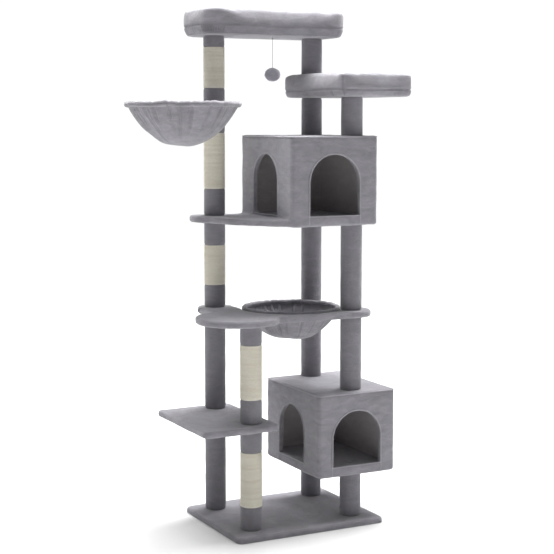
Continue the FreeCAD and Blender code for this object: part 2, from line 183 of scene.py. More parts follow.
def wrap(piece, grain=0.005, smoothing=3, unevenness=0.0008, spread=0.05):
    """Turn a hard shape into cloth laid over it: even mesh, soft edges, a little unevenness."""
    apply_modifier(piece, "REMESH", mode="VOXEL", voxel_size=grain)
    apply_modifier(piece, "SMOOTH", factor=0.5, iterations=smoothing)
    outward = [vertex.normal.copy() for vertex in piece.data.vertices]
    for vertex, out in zip(piece.data.vertices, outward):
        push = noise.noise(vertex.co / spread) + 0.5 * noise.noise(vertex.co / spread * 2.7)
        vertex.co += out * push * unevenness
    return piece


def join(pieces, name):
    """Make one piece of several."""
    bpy.ops.object.select_all(action="DESELECT")
    for piece in pieces:
        piece.select_set(True)
    bpy.context.view_layer.objects.active = pieces[0]
    bpy.ops.object.join()
    joined = bpy.context.active_object
    joined.name = name
    joined.data.name = name
    return joined


def finish_piece(piece, material, slot, *nodes, body="root", smooth=True, angle=None):
    """Smooth the shading, give the finish, and hang the piece on its body."""
    use(piece)
    if angle is not None:
        bpy.ops.object.shade_smooth_by_angle(angle=math.radians(angle))
    elif smooth:
        bpy.ops.object.shade_smooth()
    piece.data.materials.clear()
    piece.data.materials.append(material)
    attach(piece, body)
    if nodes:
        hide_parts(*nodes)
    return piece


# ---------------------------------------------------------------- finishes


class Finish:
    """A material with its shader, and short ways to add nodes to it."""

    def __init__(self, name, roughness, sheen=0.0, metallic=0.0, specular=0.5):
        self.material = bpy.data.materials.new(name)
        self.material.use_nodes = True
        self.nodes = self.material.node_tree.nodes
        self.links = self.material.node_tree.links
        self.shader = self.nodes["Principled BSDF"]
        self.shader.inputs["Roughness"].default_value = roughness
        self.shader.inputs["Metallic"].default_value = metallic
        self.shader.inputs["Specular IOR Level"].default_value = specular
        self.shader.inputs["Sheen Weight"].default_value = sheen
        self.shader.inputs["Sheen Roughness"].default_value = 0.45
        self.where = self.nodes.new("ShaderNodeTexCoord").outputs["Object"]

    def read(self, source):
        """Read the pattern from a UV map of the piece."""
        node = self.nodes.new("ShaderNodeUVMap")
        node.uv_map = source
        return node.outputs["UV"]

    def stretch(self, scale, turn=(0, 0, 0), source=None):
        node = self.nodes.new("ShaderNodeMapping")
        node.inputs["Scale"].default_value = scale
        node.inputs["Rotation"].default_value = turn
        self.links.new(source or self.where, node.inputs["Vector"])
        return node.outputs["Vector"]

    def cloud(self, scale, detail=2.0, roughness=0.5, distortion=0.0, source=None):
        node = self.nodes.new("ShaderNodeTexNoise")
        node.inputs["Scale"].default_value = scale
        node.inputs["Detail"].default_value = detail
        node.inputs["Roughness"].default_value = roughness
        node.inputs["Distortion"].default_value = distortion
        self.links.new(source or self.where, node.inputs["Vector"])
        return node.outputs["Fac"]

    def shade(self, factor, stops):
        """Turn a pattern into colours: stops are pairs of position and colour."""
        ramp = self.nodes.new("ShaderNodeValToRGB")
        band = ramp.color_ramp
        while len(band.elements) < len(stops):
            band.elements.new(0.5)
        for element, (position, colour) in zip(band.elements, stops):
            element.position = position
            element.color = (*colour, 1)
        self.links.new(factor, ramp.inputs["Fac"])
        return ramp.outputs["Color"]

    def mix(self, first, second, amount, blend="MULTIPLY"):
        node = self.nodes.new("ShaderNodeMix")
        node.data_type = "RGBA"
        node.blend_type = blend
        node.inputs["Factor"].default_value = amount
        self.links.new(first, node.inputs["A"])
        self.links.new(second, node.inputs["B"])
        return node.outputs["Result"]

    def add(self, first, second, weight):
        node = self.nodes.new("ShaderNodeMath")
        node.operation = "MULTIPLY_ADD"
        self.links.new(second, node.inputs[0])
        node.inputs[1].default_value = weight
        self.links.new(first, node.inputs[2])
        return node.outputs["Value"]

    def colour(self, source):
        self.links.new(source, self.shader.inputs["Base Color"])

    def relief(self, height, depth, strength=1.0):
        node = self.nodes.new("ShaderNodeBump")
        node.inputs["Strength"].default_value = strength
        node.inputs["Distance"].default_value = depth
        self.links.new(height, node.inputs["Height"])
        self.links.new(node.outputs["Normal"], self.shader.inputs["Normal"])


def grey(value, warmth=0.0):
    """A grey with a touch of blue violet, or of warmth."""
    return (value * (1.0 + warmth), value * (0.99 + 0.4 * warmth), value * (1.03 - warmth))


def plush_finish(name, tone, nap_sheen=1.0, warmth=0.0):
    """Short-pile plush: fine pile, pile brushed in streaks with its sheen painted light and dark
    into the colour, soft sheen.
    """
    finish = Finish(name, roughness=0.95, sheen=0.35, specular=0.12)
    pile = finish.cloud(620, detail=3, roughness=0.7)
    tufts = finish.cloud(150, detail=2, roughness=0.6, distortion=0.6)
    brushed = finish.cloud(1.0, detail=4, roughness=0.6, distortion=0.8,
                           source=finish.stretch((16, 16, 42)))
    patches = finish.cloud(5, detail=2)
    base = finish.shade(pile, [(0.25, grey(tone * 0.70, warmth)), (0.55, grey(tone, warmth)),
                               (0.8, grey(tone * 1.22, warmth))])
    # The brushed streaks are real; their lighter and darker colour is painted sheen.
    painted_brushed_sheen = finish.shade(brushed, [(0.30, grey(1 - 0.20 * nap_sheen)), (0.5, grey(0.95)),
                                       (0.72, grey(1.0 + 0.16 * nap_sheen))])
    patch_shade = finish.shade(patches, [(0.3, grey(0.90, 0.02)), (0.7, grey(1.0))])
    finish.colour(finish.mix(finish.mix(base, painted_brushed_sheen, 0.9), patch_shade, 0.7))
    height = finish.add(finish.add(pile, tufts, 0.9), brushed, 1.2)
    finish.relief(height, 0.0022, 0.65)
    return finish.material


def sisal_finish():
    """Twisted sisal rope: strand after strand across each turn, with painted shade in the grooves
    between them, dry fibres and pale and dark turns.
    """
    finish = Finish("twisted sisal rope", roughness=0.85, sheen=0.1, specular=0.2)
    along = finish.read("rope")
    strand = finish.nodes.new("ShaderNodeTexWave")
    strand.wave_type = "BANDS"
    strand.bands_direction = "DIAGONAL"
    strand.inputs["Scale"].default_value = 1.0
    strand.inputs["Distortion"].default_value = 0.6
    finish.links.new(finish.stretch((110, 1.6, 1), source=along), strand.inputs["Vector"])
    fibre = finish.cloud(1.0, detail=3, source=finish.stretch((300, 300, 900)))
    turns = finish.cloud(1.0, detail=2, source=finish.stretch((6, 6, 90)))
    base = finish.shade(fibre, [(0.3, (0.78, 0.74, 0.62)), (0.55, (0.93, 0.90, 0.79)),
                                (0.8, (0.97, 0.95, 0.88))])
    # Painted shade: darker where the strand bump is low, in the grooves between strands.
    strand_bands_and_groove_shade = finish.shade(strand.outputs["Fac"], [(0.05, (0.80, 0.78, 0.74)), (0.5, (1, 1, 1))])
    shade = finish.shade(turns, [(0.3, (0.90, 0.88, 0.85)), (0.6, (1.0, 1.0, 1.0))])
    finish.colour(finish.mix(finish.mix(base, strand_bands_and_groove_shade, 0.8), shade, 0.8))
    finish.relief(finish.add(strand.outputs["Fac"], fibre, 0.5), 0.0008, 0.8)
    return finish.material


def chipboard_finish():
    """Pressed chips of pale wood."""
    finish = Finish("raw chipboard", roughness=0.8)
    chips = finish.nodes.new("ShaderNodeTexVoronoi")
    chips.inputs["Scale"].default_value = 1.0
    finish.links.new(finish.stretch((260, 120, 260)), chips.inputs["Vector"])
    dust = finish.cloud(500, detail=3)
    wood = finish.shade(chips.outputs["Color"], [(0.1, (0.42, 0.29, 0.17)),
                                                  (0.5, (0.58, 0.43, 0.27)),
                                                  (0.9, (0.72, 0.57, 0.38))])
    specks = finish.shade(dust, [(0.3, (0.75, 0.72, 0.68)), (0.6, (1, 1, 1))])
    finish.colour(finish.mix(wood, specks, 0.8))
    finish.relief(finish.add(chips.outputs["Distance"], dust, 0.5), 0.0006, 0.6)
    return finish.material


def card_finish():
    """Kraft card wound in a spiral."""
    finish = Finish("wound kraft card", roughness=0.85)
    fibre = finish.cloud(1.0, detail=4, source=finish.stretch((90, 90, 420), (0.5, 0, 0)))
    card = finish.shade(fibre, [(0.3, (0.36, 0.25, 0.15)), (0.7, (0.52, 0.39, 0.25))])
    specks = finish.shade(finish.cloud(700), [(0.35, (0.8, 0.78, 0.75)), (0.6, (1, 1, 1))])
    finish.colour(finish.mix(card, specks, 0.6))
    finish.relief(fibre, 0.0003, 0.5)
    return finish.material


def metal_finish(name, dark, light, roughness, metallic):
    """Coated or plated steel with small flow marks and handling marks."""
    finish = Finish(name, roughness=roughness, metallic=metallic)
    flow = finish.cloud(240, detail=3, distortion=0.4)
    marks = finish.cloud(35, detail=2)
    coat = finish.shade(flow, [(0.3, dark), (0.7, light)])
    handled = finish.shade(marks, [(0.35, (0.85, 0.85, 0.85)), (0.6, (1, 1, 1))])
    finish.colour(finish.mix(coat, handled, 0.7))
    finish.relief(flow, 0.00015, 0.5)
    return finish.material


def plastic_finish():
    """Dark moulded plastic with a fine spark-eroded grain."""
    finish = Finish("dark moulded plastic", roughness=0.6)
    grain = finish.cloud(900, detail=2)
    finish.colour(finish.shade(grain, [(0.3, (0.012, 0.012, 0.013)), (0.7, (0.03, 0.03, 0.032))]))
    finish.relief(grain, 0.0001, 0.6)
    return finish.material


def cotton_finish(name, dark, light):
    """Twisted cotton thread."""
    finish = Finish(name, roughness=0.9, sheen=0.3, specular=0.15)
    twist = finish.cloud(1.0, detail=3, source=finish.stretch((900, 900, 1600), (0.6, 0.4, 0)))
    slub = finish.cloud(60, detail=2)
    thread = finish.shade(twist, [(0.3, dark), (0.7, light)])
    lumps = finish.shade(slub, [(0.3, (0.86, 0.86, 0.86)), (0.7, (1, 1, 1))])
    finish.colour(finish.mix(thread, lumps, 0.7))
    finish.relief(twist, 0.0003, 0.7)
    return finish.material


TONE = 0.27                           # how light the grey plush is
PLUSH_GREY = plush_finish("grey plush", TONE)
POST_PLUSH = plush_finish("grey plush on posts", TONE * 0.86, nap_sheen=0.6)
BOWL_PLUSH = plush_finish("grey plush of bowls", TONE * 0.98, nap_sheen=1.2)
# The piping cords are real; their paler colour is a painted highlight along the edges.
PIPING_PLUSH_PAINTED_HIGHLIGHT = plush_finish("plush piping with painted highlight", TONE * 1.35, nap_sheen=0.5)
# Painted light: the lining is the same plush, made lighter and warmer to stand in for light inside
# the houses.
LINING_PLUSH_PAINTED_LIGHT = plush_finish("plush lining painted lighter", TONE * 1.5, nap_sheen=0.6, warmth=0.05)
SISAL = sisal_finish()
POMPOM_YARN = plush_finish("pom-pom yarn", TONE * 2.25, nap_sheen=0.8)
STRING = cotton_finish("cotton string", (0.16, 0.16, 0.165), (0.27, 0.27, 0.275))
CARRIED = {
    "board": chipboard_finish(),
    "card_tube": card_finish(),
    "hoop_steel": metal_finish("grey coated steel", (0.05, 0.05, 0.055), (0.09, 0.09, 0.095),
                               roughness=0.45, metallic=0.3),
    "zinc_steel": metal_finish("zinc plated steel", (0.50, 0.51, 0.53), (0.68, 0.69, 0.71),
                               roughness=0.35, metallic=1.0),
    "plug_plastic": plastic_finish(),
    "plush": PLUSH_GREY,
    "bowl_plush": BOWL_PLUSH,
    "sisal": SISAL,
    "string": STRING,
    "pompom": POMPOM_YARN,
}
UNDER_BEDS = ("bed_board", "perch_board")    # covered in plush on their undersides too


def dress_carried_nodes():
    """Give every node that stays its own finish."""
    slots = {row["node"]: row["material_slot"] for row in frame["record"]["subparts"]}
    for name, node in frame["nodes"].items():
        node.data.materials.clear()
        node.data.materials.append(PLUSH_GREY if name in UNDER_BEDS else CARRIED[slots[name]])


# ---------------------------------------------------------------- camera, light and floor


def set_camera():
    """The viewer stands in front and to the left, at chest height, looking a little down."""
    pitch, heading = -5.418, -27.327
    data = bpy.data.cameras.new("camera")
    data.lens = 89.2
    data.sensor_width = 36
    data.shift_y = -0.05
    camera = bpy.data.objects.new("camera", data)
    bpy.context.collection.objects.link(camera)
    camera.location = (-2.3645, -4.5256, 1.5064)
    camera.rotation_euler = (math.radians(90 + pitch), 0, math.radians(heading))
    bpy.context.scene.camera = camera


def soft_light(name, place, target, size, power):
    data = bpy.data.lights.new(name, "AREA")
    data.shape = "DISK"
    data.size = size
    data.energy = power
    lamp = bpy.data.objects.new(name, data)
    bpy.context.collection.objects.link(lamp)
    lamp.location = place
    lamp.rotation_euler = (Vector(target) - Vector(place)).to_track_quat("-Z", "Y").to_euler()


def set_studio():
    """A pale floor, a white surround that is dimmer on the left, and three soft lights."""
    pale_floor()
    white_surround()
    soft_light("front light", (1.2, -4.5, 2.6), (0, 0, 1.0), size=2.5, power=14)
    soft_light("top light", (1.5, 0.6, 4.4), (0, 0, 0.8), size=2.6, power=320)
    soft_light("left top light", (-0.4, 0.5, 4.7), (-0.1, 0, 0.6), size=2.4, power=230)
    bpy.context.scene.view_settings.view_transform = "Standard"


def pale_floor():
    """A wide floor that glows a little more away from the object, so that it stays white there."""
    floor = new_piece("floor", bpy.ops.mesh.primitive_circle_add, vertices=96, radius=60,
                      fill_type="NGON", location=(0, 0, 0))
    floor.location.z = -0.0005
    finish = Finish("pale studio floor", roughness=0.9, specular=0.1)
    finish.colour(finish.shade(finish.cloud(3), [(0.3, (0.64, 0.64, 0.64)),
                                                 (0.7, (0.66, 0.66, 0.66))]))
    finish.shader.inputs["Emission Color"].default_value = (1, 1, 1, 1)
    nodes, links = finish.material.node_tree.nodes, finish.material.node_tree.links
    reach = nodes.new("ShaderNodeVectorMath")
    reach.operation = "LENGTH"
    links.new(nodes.new("ShaderNodeTexCoord").outputs["Object"], reach.inputs[0])
    glow = nodes.new("ShaderNodeMapRange")
    for socket, value in (("From Min", 0.7), ("From Max", 3.0),
                          ("To Min", 0.10), ("To Max", 0.47)):
        glow.inputs[socket].default_value = value
    links.new(reach.outputs["Value"], glow.inputs["Value"])
    links.new(glow.outputs["Result"], finish.shader.inputs["Emission Strength"])
    floor.data.materials.append(finish.material)


def white_surround():
    """A world that is bright behind and to the right, dim in front, and brighter overhead."""
    world = bpy.data.worlds.new("white studio")
    bpy.context.scene.world = world
    world.use_nodes = True
    nodes, links = world.node_tree.nodes, world.node_tree.links
    heading = nodes.new("ShaderNodeVectorMath")
    heading.operation = "DOT_PRODUCT"
    heading.inputs[1].default_value = (0.23, 0.44, 0)
    sky = nodes.new("ShaderNodeTexCoord").outputs["Generated"]
    links.new(sky, heading.inputs[0])
    behind = nodes.new("ShaderNodeMath")
    behind.inputs[1].default_value = 0.5
    links.new(heading.outputs["Value"], behind.inputs[0])
    ramp = nodes.new("ShaderNodeValToRGB")
    band = ramp.color_ramp.elements
    for position, brightness in ((0.0, 0.16), (0.45, 0.28), (0.80, 1.0)):
        element = band[0] if position == 0 else band.new(position)
        element.color = (brightness, brightness, brightness, 1)
    links.new(behind.outputs["Value"], ramp.inputs["Fac"])
    split = nodes.new("ShaderNodeSeparateXYZ")
    links.new(sky, split.inputs["Vector"])
    lift = nodes.new("ShaderNodeMath")
    lift.operation = "MULTIPLY"
    lift.use_clamp = True
    links.new(split.outputs["Z"], lift.inputs[0])
    links.new(split.outputs["Z"], lift.inputs[1])
    overhead = nodes.new("ShaderNodeMath")
    overhead.operation = "MULTIPLY_ADD"
    more_overhead, all_round = 1.2, 1.03
    overhead.inputs[1].default_value = more_overhead
    overhead.inputs[2].default_value = all_round
    links.new(lift.outputs["Value"], overhead.inputs[0])
    links.new(ramp.outputs["Color"], nodes["Background"].inputs["Color"])
    links.new(overhead.outputs["Value"], nodes["Background"].inputs["Strength"])


# ---------------------------------------------------------------- hanging toy


def hanging_toy():
    """A string that hangs straight from its knot, and a clipped pom-pom on it."""
    low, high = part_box("toy_string")
    across, along = (low.x + high.x) / 2, (low.y + high.y) / 2
    thickness = high.x - low.x
    halfway = (low.z + high.z) / 2
    route = [(across, along, high.z), (across, along, halfway), (across, along, low.z)]
    data = bpy.data.curves.new("toy string", "CURVE")
    data.dimensions = "3D"
    data.bevel_depth = thickness / 2
    data.bevel_resolution = 3
    line = data.splines.new("NURBS")
    line.points.add(len(route) - 1)
    for point, place in zip(line.points, route):
        point.co = (*place, 1)
    line.order_u = 3
    line.use_endpoint_u = True
    string = bpy.data.objects.new("toy_string_cord", data)
    bpy.context.collection.objects.link(string)
    data.materials.append(STRING)
    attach(string, "toy")
    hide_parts("toy_string")
    pompom = clipped_pompom()


def clipped_pompom():
    """A slightly flattened ball of short clipped tufts, hung by its top."""
    low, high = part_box("toy_pompom")
    centre = (low + high) / 2
    radius = (high.x - low.x) / 2
    core = new_piece("toy_pompom_yarn", bpy.ops.mesh.primitive_ico_sphere_add, subdivisions=5,
                     radius=radius * 0.90, location=centre)
    settle(core)
    for vertex in core.data.vertices:
        out = (vertex.co - centre).normalized()
        vertex.co += out * (noise.noise(out * 2.6) + noise.noise(out * 14)) * 0.0012
    roots = len(core.data.vertices)
    pick(core, "FACE", lambda middle, normal: True)
    bpy.ops.mesh.poke()
    put_down()
    draw = random.Random(3)
    for vertex in core.data.vertices[roots:]:
        out = (vertex.co - centre).normalized()
        lean = Vector((draw.uniform(-1, 1), draw.uniform(-1, 1), draw.uniform(-1, 1))) * 0.0008
        vertex.co += out * draw.uniform(0.0015, 0.0042) + lean
    flattened = 0.86
    for vertex in core.data.vertices:
        vertex.co.z = high.z + (vertex.co.z - high.z) * flattened
    return finish_piece(core, POMPOM_YARN, "pompom", "toy_pompom", body="toy", smooth=False)


# ---------------------------------------------------------------- plush over boards


def slab(name, left, right, front, back, low, high, corner):
    """A board-like block with rounded plan corners."""
    return round_corners(block(name, (left, front, low), (right, back, high)), corner)


def base_and_step():
    """The plush over the base, hollow below for its board, and the plush round the step."""
    low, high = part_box("base_cover")
    deep = 0.012
    cover = slab("base_plush", low.x, high.x, low.y, high.y, low.z - deep, high.z, 0.022)
    roll_edges(cover, 0.005)
    wrap(cover)
    carve(cover, block("below the hem", (low.x - deep, low.y - deep, -2 * deep),
                       (high.x + deep, high.y + deep, GAP)))
    board_low, board_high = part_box("base_board")
    inside = slab("base board space", board_low.x - GAP, board_high.x + GAP, board_low.y - GAP,
                  board_high.y + GAP, board_low.z - 0.01, board_high.z + GAP, 0.018)
    carve(cover, inside)
    finish_piece(cover, PLUSH_GREY, "plush", "base_cover", angle=50)

    low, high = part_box("step_board_cover")
    step = slab("step_plush", low.x, high.x, low.y, high.y, low.z, high.z, 0.020)
    roll_edges(step, 0.007)
    wrap(step)
    finish_piece(step, PLUSH_GREY, "plush", "step_board_cover")


def lounge():
    """A round seat with an arm to the back post and one to the front, hollowed for the hammock."""
    low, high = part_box("lounge_board_cover")
    low, high = low.z, high.z
    seat = round_block("lounge_plush", (-0.242, -0.112), 0.153, low, high)
    carve(seat, block("back arm", (-0.270, -0.112, low), (-0.138, 0.168, high)), "UNION")
    carve(seat, block("front arm", (-0.204, -0.206, low), (0.212, -0.074, high)), "UNION")
    carve(seat, round_block("back pad", POSTS["back_left"], 0.066, low, high, 64), "UNION")
    carve(seat, round_block("front pad", POSTS["front_right"], 0.074, low, high, 64), "UNION")
    centre, radius, _ = hoop("hammock")
    clear = radius + CASING + HAMMOCK_GAP
    carve(seat, round_block("hammock gap", centre, clear, low - 0.01, high + 0.01, 128))
    roll_edges(seat, 0.006)
    wrap(seat, grain=0.004)
    finish_piece(seat, PLUSH_GREY, "plush", "lounge_board_cover")


# ---------------------------------------------------------------- houses


def barrel(name, middle, radius, low, high, axis):
    """A round block lying along X or Y, to cut the head of an arch."""
    if axis == "Y":
        place, turn = (middle[0], (low + high) / 2, middle[1]), (math.pi / 2, 0, 0)
    else:
        place, turn = ((low + high) / 2, middle[0], middle[1]), (0, math.pi / 2, 0)
    piece = new_piece(name, bpy.ops.mesh.primitive_cylinder_add, vertices=96, radius=radius,
                      depth=high - low, location=place, rotation=turn)
    return settle(piece)


def cut_arch(shell, arch, axis, near, far):
    """Cut an arched doorway through one wall."""
    middle, half, sill, apex = arch
    spring = apex - half
    if axis == "Y":
        legs = block("doorway", (middle - half, near, sill), (middle + half, far, spring))
    else:
        legs = block("doorway", (near, middle - half, sill), (far, middle + half, spring))
    carve(shell, legs)
    carve(shell, barrel("doorway head", (middle, spring), half, near, far, axis))


def arch_piping(name, arch, axis, face, bottom):
    """A thin corded edge all round a doorway, with the two seams that run on down to the hem, its
    paler colour a painted highlight.
    """
    middle, half, sill, apex = arch
    grow = half + 0.0015
    spring = apex - half
    loop = new_piece(name, bpy.ops.mesh.primitive_circle_add, vertices=72, radius=grow,
                     location=(0, 0, 0), rotation=(math.pi / 2, 0, 0))
    settle(loop)
    pick(loop, "VERT", lambda co: co.z < -1e-4)
    bpy.ops.mesh.delete(type="VERT")
    put_down()
    pick(loop, "VERT", lambda co: abs(co.z) < 1e-4 and abs(abs(co.x) - grow) < 1e-4)
    for _ in range(6):
        bpy.ops.mesh.extrude_region_move(
            TRANSFORM_OT_translate={"value": (0, 0, (sill - spring) / 6)})
    bpy.ops.mesh.edge_face_add()
    put_down()
    seams = []
    for side in (-grow, grow):
        seam = new_piece(f"{name}_seam", bpy.ops.mesh.primitive_plane_add, size=0.002)
        pick(seam, "VERT", lambda co: True)
        bpy.ops.mesh.merge(type="CENTER")
        bpy.ops.transform.translate(value=(side, 0, sill - spring))
        bpy.ops.mesh.extrude_region_move(TRANSFORM_OT_translate={"value": (0, 0, bottom - sill)})
        put_down()
        seams.append(seam)
    cords = []
    for line, thickness in ((loop, 0.0026), (seams[0], 0.0016), (seams[1], 0.0016)):
        use(line)
        bpy.ops.object.convert(target="CURVE")
        line.data.bevel_depth = thickness
        line.data.bevel_resolution = 2
        line.data.use_fill_caps = True
        bpy.ops.object.convert(target="MESH")
        cords.append(bpy.context.active_object)
    piping = join(cords, name)
    if axis == "Y":
        piping.location = (middle, face, spring)
    else:
        piping.rotation_euler = (0, 0, -math.pi / 2)
        piping.location = (face, middle, spring)
    settle(piping)
    return finish_piece(piping, PIPING_PLUSH_PAINTED_HIGHLIGHT, "plush")


def edge_seam(name, low, high, level_at, inset):
    """A fine corded seam round the edge of a roof, its paler colour a painted highlight."""
    loop = new_piece(name, bpy.ops.mesh.primitive_plane_add, size=1,
                     location=((low.x + high.x) / 2, (low.y + high.y) / 2, level_at))
    loop.scale = (high.x - low.x - 2 * inset, high.y - low.y - 2 * inset, 1)
    settle(loop)
    pick(loop, "VERT", lambda co: True)
    bpy.ops.mesh.bevel(offset=0.013, segments=6, affect="VERTICES")
    bpy.ops.mesh.select_all(action="SELECT")
    bpy.ops.mesh.delete(type="ONLY_FACE")
    put_down()
    use(loop)
    bpy.ops.object.convert(target="CURVE")
    loop.data.bevel_depth = 0.0022
    loop.data.bevel_resolution = 2
    bpy.ops.object.convert(target="MESH")
    return finish_piece(bpy.context.active_object, PIPING_PLUSH_PAINTED_HIGHLIGHT, "plush")


def house(name, low, high, floor_top, front_arch, left_arch, floor_outline):
    """One continuous plush skin over floor, walls and roof, lined inside with the same plush
    painted lighter, with two doorways.
    """
    skin_low, skin_high = low - Vector(PROUD_LOW), high + Vector(PROUD_HIGH)
    shell = slab(f"{name}_plush", skin_low.x, skin_high.x, skin_low.y, skin_high.y, skin_low.z,
                 skin_high.z, 0.015)
    roll_edges(shell, 0.009)
    carve(shell, floor_outline(), "UNION")
    wall = WALL + LINING
    carve(shell, slab("room", low.x + wall, high.x - wall, low.y + wall, high.y - wall,
                      floor_top + LINING, high.z - wall, 0.008))
    cut_arch(shell, front_arch, "Y", low.y - DOOR_REACH_OUT, low.y + DOOR_REACH_IN)
    cut_arch(shell, left_arch, "X", low.x - DOOR_REACH_OUT, low.x + DOOR_REACH_IN)
    wrap(shell, grain=0.005, smoothing=3, unevenness=0.0012, spread=0.07)
    room_low, room_high = low + Vector((1, 1, 0)) * WALL, high - Vector((1, 1, 1)) * WALL
    finish_piece(shell, PLUSH_GREY, "plush", f"{name}_cover", f"{name}_floor_cover",
                 *(f"{name}_{side}" for side in ("front", "back", "left", "right", "roof")))
    # The inside walls and ceiling get the lining that is painted lighter, as painted light in the
    # room.
    shell.data.materials.append(LINING_PLUSH_PAINTED_LIGHT)
    for face in shell.data.polygons:
        inside = all(a < c < b for a, c, b in zip(room_low, face.center, room_high))
        face.material_index = int(inside and face.center.z > floor_top + 0.006)
    arch_piping(f"{name}_front_piping", front_arch, "Y", skin_low.y - 0.0002, low.z + 0.004)
    arch_piping(f"{name}_left_piping", left_arch, "X", skin_low.x - 0.0002, low.z + 0.004)
    edge_seam(f"{name}_roof_seam", skin_low, skin_high, skin_high.z - 0.0035, 0.0012)


def lower_house():
    low, high = Vector((0.035, -0.215, 0.192)), Vector((0.356, 0.204, 0.494))

    def floor_outline():
        return slab("floor edge", low.x, high.x, low.y, 0.212, low.z, 0.216, 0.013)

    house("lower_house", low, high, 0.216, (0.1955, 0.102, 0.226, 0.433),
          (-0.0055, 0.100, 0.226, 0.433), floor_outline)


def upper_house():
    low, high = Vector((-0.074, -0.208, 1.122)), Vector((0.279, 0.204, 1.440))

    def floor_outline():
        lobe = round_block("lobe", (0.174, 0.156), 0.440, low.z, 1.146, 160)
        lobe_limits = block("lobe limits", (-0.290, -0.208, low.z - 0.01), (0.279, 0.212, 1.156))
        carve(lobe, lobe_limits, "INTERSECT")
        pad = round_block("lobe end pad", POSTS["back_left"], 0.094, low.z, 1.146, 96)
        pad_limits = block("pad limits", (-0.35, 0.0, low.z - 0.01), (0.0, 0.236, 1.156))
        carve(pad, pad_limits, "INTERSECT")
        carve(lobe, pad, "UNION")
        return roll_edges(lobe, 0.006)

    house("upper_house", low, high, 1.146, (0.1025, 0.104, 1.156, 1.380),
          (-0.002, 0.097, 1.156, 1.380), floor_outline)


# ---------------------------------------------------------------- posts


def sleeve(column, low, high):
    """A plush tube with rolled ends over one run of a post."""
    tube = new_piece("sleeve", bpy.ops.mesh.primitive_cylinder_add, vertices=56,
                     radius=POST_RADIUS, depth=high - low, end_fill_type="NOTHING",
                     location=(*POSTS[column], (low + high) / 2))
    settle(tube)
    pick(tube, "EDGE", upright)
    bpy.ops.mesh.subdivide(number_cuts=max(3, int((high - low) / 0.008)))
    put_down()
    centre = Vector(POSTS[column])
    for vertex in tube.data.vertices:
        out = (vertex.co.xy - centre).normalized()
        end = min(vertex.co.z - low, high - vertex.co.z)
        roll = -0.0022 * max(0, 1 - end / 0.004) ** 2
        sag = noise.noise(Vector((out.x * 1.6, out.y * 1.6, vertex.co.z / 0.05))) * 0.0007
        vertex.co.xy += out * (roll + sag - 0.0004)
    apply_modifier(tube, "SOLIDIFY", thickness=0.0036, offset=-1)
    return tube


def seam_down(column, low, high, bearing):
    """The raised seam that closes a sleeve."""
    angle = math.radians(bearing)
    x, y = POSTS[column]
    place = (x + math.cos(angle) * POST_RADIUS, y + math.sin(angle) * POST_RADIUS,
             (low + high) / 2)
    ridge = new_piece("seam", bpy.ops.mesh.primitive_cylinder_add, vertices=10, radius=0.0014,
                      depth=high - low - 0.004, location=place)
    settle(ridge)
    pick(ridge, "FACE", lambda centre, normal: abs(normal.z) > 0.9)
    bpy.ops.mesh.inset(thickness=0.0005)
    put_down()
    return ridge


def post_sleeves():
    """All the sleeves of each column, with their seams turned to the back."""
    back = 75
    for column, runs in SLEEVES.items():
        tubes = []
        for low, high in runs:
            tubes.append(sleeve(column, low, high))
            tubes.append(seam_down(column, low, high, back))
        piece = join(tubes, f"sleeves_{column}")
        finish_piece(piece, POST_PLUSH, "plush", f"plush_{column}_posts", angle=60)


def rope_band(column, low, high):
    """Rope wound round a post, turn against turn."""
    tuck = ROPE_RADIUS
    turns = int((high - low - 2 * tuck) / ROPE_PITCH)
    pitch = (high - low - 2 * tuck) / turns
    x, y = POSTS[column]
    rope = new_piece("rope", bpy.ops.mesh.primitive_circle_add, vertices=8, radius=ROPE_RADIUS,
                     location=(ROPE_MIDDLE, 0, 0), rotation=(math.pi / 2, 0, 0))
    settle(rope)
    apply_modifier(rope, "SCREW", axis="Z", screw_offset=pitch, iterations=turns, steps=28,
                   render_steps=28, angle=2 * math.pi, use_normal_calculate=True)
    last_turns = []
    for height in (0, turns * pitch):
        last_turn = new_piece("last turn", bpy.ops.mesh.primitive_torus_add,
                              major_radius=ROPE_MIDDLE, minor_radius=ROPE_RADIUS,
                              major_segments=56, minor_segments=8, location=(0, 0, height))
        last_turns.append(settle(last_turn))
    pick(rope, "EDGE", lambda a, b: False)
    bpy.ops.mesh.select_non_manifold()
    bpy.ops.mesh.edge_face_add()
    bpy.ops.mesh.select_all(action="SELECT")
    bpy.ops.mesh.normals_make_consistent(inside=False)
    put_down()
    rope = join([rope, *last_turns], "rope")
    while rope.data.uv_layers:
        rope.data.uv_layers.remove(rope.data.uv_layers[0])
    chart = rope.data.uv_layers.new(name="rope")
    for face in rope.data.polygons:
        middle = math.atan2(face.center.y, face.center.x)
        for corner in face.loop_indices:
            place = rope.data.vertices[rope.data.loops[corner].vertex_index].co
            around = math.atan2(place.y, place.x)
            around += 2 * math.pi * round((middle - around) / (2 * math.pi))
            climb = place.z - pitch * around / (2 * math.pi)
            climb -= pitch * round(climb / pitch)
            section = math.atan2(climb, place.xy.length - ROPE_MIDDLE)
            chart.data[corner].uv = (around / (2 * math.pi), section / (2 * math.pi))
    rope.location = (x, y, low + tuck)
    return settle(rope)


def sisal():
    """All five rope bands as one piece."""
    bands = [rope_band(column, low, high) for column, low, high in ROPE_BANDS]
    finish_piece(join(bands, "sisal_rope"), SISAL, "sisal", "sisal_bands")


# ---------------------------------------------------------------- basket and hammock


def hoop(name):
    """The middle, radius and level of a steel hoop."""
    low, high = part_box(f"{name}_hoop")
    wire = (high.z - low.z) / 2
    middle = (low + high) / 2
    return (middle.x, middle.y), (high.x - low.x) / 2 - wire, middle.z


